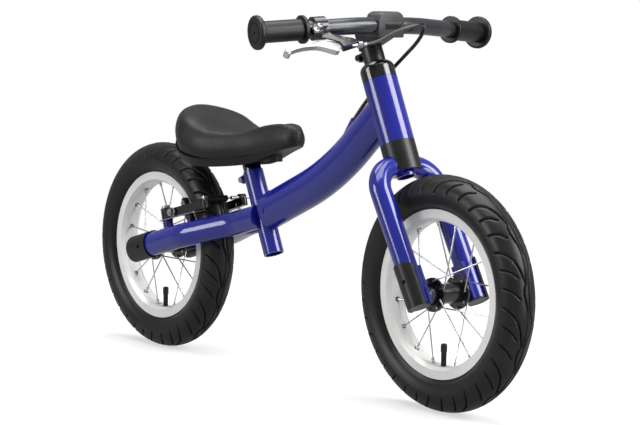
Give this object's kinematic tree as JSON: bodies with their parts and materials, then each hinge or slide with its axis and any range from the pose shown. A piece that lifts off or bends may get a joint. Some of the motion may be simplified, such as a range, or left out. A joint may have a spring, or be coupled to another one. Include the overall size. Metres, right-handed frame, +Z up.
{
  "type": "balance bike",
  "caption": "Child's balance bike with spoked wheels, pneumatic tyres, bent oval main tube, padded saddle, flanged grips and a hand lever working a rear rim brake.",
  "frame": {"origin": "on the ground, midway between the two axles, in the frame's middle plane", "axes": "+X towards the front wheel, +Y towards the rider's left, +Z up"},
  "size_m": [0.923, 0.397, 0.5094],
  "materials": {
    "frame_paint": "deep blue-violet gloss powder coat",
    "black_steel": "black satin paint",
    "black_alloy": "black anodised alloy",
    "black_plastic": "black moulded plastic",
    "rim_white": "white gloss paint on alloy",
    "tyre": "black pneumatic tyre with a slanted block tread",
    "rubber": "black rubber",
    "spoke_steel": "bright stainless wire",
    "zinc_steel": "bright zinc-plated steel",
    "lever_alloy": "polished cast alloy",
    "cable_black": "black plastic-sheathed cable housing",
    "saddle_leather": "black grained synthetic leather over foam"
  },
  "bodies": {
    "frame": {"head_tube": "frame_paint", "main_tube": "frame_paint", "seat_tube": "frame_paint", "stay_left": "frame_paint", "stay_right": "frame_paint", "headset_bearings": "zinc_steel", "stay_cap_left": "black_plastic", "stay_cap_right": "black_plastic", "seat_clamp_bolt": "zinc_steel", "brake_pivot_bolts": "zinc_steel", "rear_cable": "cable_black", "rear_axle": "zinc_steel", "rear_axle_nuts": "zinc_steel"},
    "fork": {"steerer_tube": "black_steel", "fork_blade_left": "frame_paint", "fork_blade_right": "frame_paint", "lower_headset_cover": "black_plastic", "upper_headset_cover": "black_plastic", "fork_cover_left": "black_plastic", "fork_cover_right": "black_plastic", "clamp_collar": "black_steel", "collar_bolt": "zinc_steel", "front_axle": "zinc_steel", "front_axle_nuts": "zinc_steel"},
    "front_wheel": {"front_tyre": "tyre", "front_inner_tube": "rubber", "front_valve_cap": "black_plastic", "front_rim": "rim_white", "front_spokes": "spoke_steel", "front_hub": "black_alloy", "front_hub_bearings": "zinc_steel"},
    "rear_wheel": {"rear_tyre": "tyre", "rear_inner_tube": "rubber", "rear_valve_cap": "black_plastic", "rear_rim": "rim_white", "rear_spokes": "spoke_steel", "rear_hub": "black_alloy", "rear_hub_bearings": "zinc_steel"},
    "bar": {"stem": "black_steel", "stem_wedge": "zinc_steel", "bar_block": "black_plastic", "handlebar": "black_steel", "grip_left": "rubber", "grip_right": "rubber", "lever_bracket": "black_alloy", "lever_hardware": "zinc_steel", "cable_adjuster": "black_alloy", "front_cable_housing": "cable_black"},
    "lever": {"brake_lever": "lever_alloy"},
    "brake_left": {"brake_arm_left": "black_alloy", "brake_pad_left": "rubber", "arm_hardware_left": "zinc_steel", "noodle": "zinc_steel", "brake_link": "rubber"},
    "brake_right": {"brake_arm_right": "black_alloy", "brake_pad_right": "rubber", "arm_hardware_right": "zinc_steel"},
    "seat": {"seat_post": "black_steel", "saddle_base": "black_plastic", "saddle_cover": "saddle_leather"}
  },
  "joints": [
    {"name": "steering", "type": "hinge", "parent": "frame", "child": "fork", "pos_m": [0.29763, 0, 0.1473], "axis": [-0.4163, 0, 0.9092], "range_deg": [-40, 40], "deforming": ["front_cable_housing"]},
    {"name": "front_wheel_spin", "type": "hinge", "parent": "fork", "child": "front_wheel", "pos_m": [0.309, 0, 0.1525], "axis": [0, 1, 0], "continuous": true},
    {"name": "rear_wheel_spin", "type": "hinge", "parent": "frame", "child": "rear_wheel", "pos_m": [-0.309, 0, 0.1525], "axis": [0, 1, 0], "continuous": true},
    {"name": "bar_height", "type": "slide", "parent": "fork", "child": "bar", "axis": [-0.4163, 0, 0.9092], "range_m": [0, 0.03], "deforming": ["front_cable_housing"]},
    {"name": "seat_height", "type": "slide", "parent": "frame", "child": "seat", "axis": [-0.4131, 0, 0.9107], "range_m": [0, 0.045]},
    {"name": "brake_left_pivot", "type": "hinge", "parent": "frame", "child": "brake_left", "pos_m": [-0.24828, 0.042, 0.2037], "axis": [0.2672, 0, -0.9636], "range_deg": [0, 1.95], "deforming": ["rear_cable", "brake_link"]},
    {"name": "brake_right_pivot", "type": "hinge", "parent": "frame", "child": "brake_right", "pos_m": [-0.24828, -0.042, 0.2037], "axis": [-0.2672, 0, 0.9636], "range_deg": [0, 1.95], "deforming": ["brake_link"]},
    {"name": "lever_pivot", "type": "hinge", "parent": "bar", "child": "lever", "pos_m": [0.20123, -0.0896, 0.47479], "axis": [-0.4447, 0.1523, -0.8826], "range_deg": [0, 11.31]}
  ],
  "couplings": [
    {"joint": "brake_right_pivot", "follows": "brake_left_pivot", "ratio": 1},
    {"joint": "lever_pivot", "follows": "brake_left_pivot", "ratio": 5.8}
  ]
}
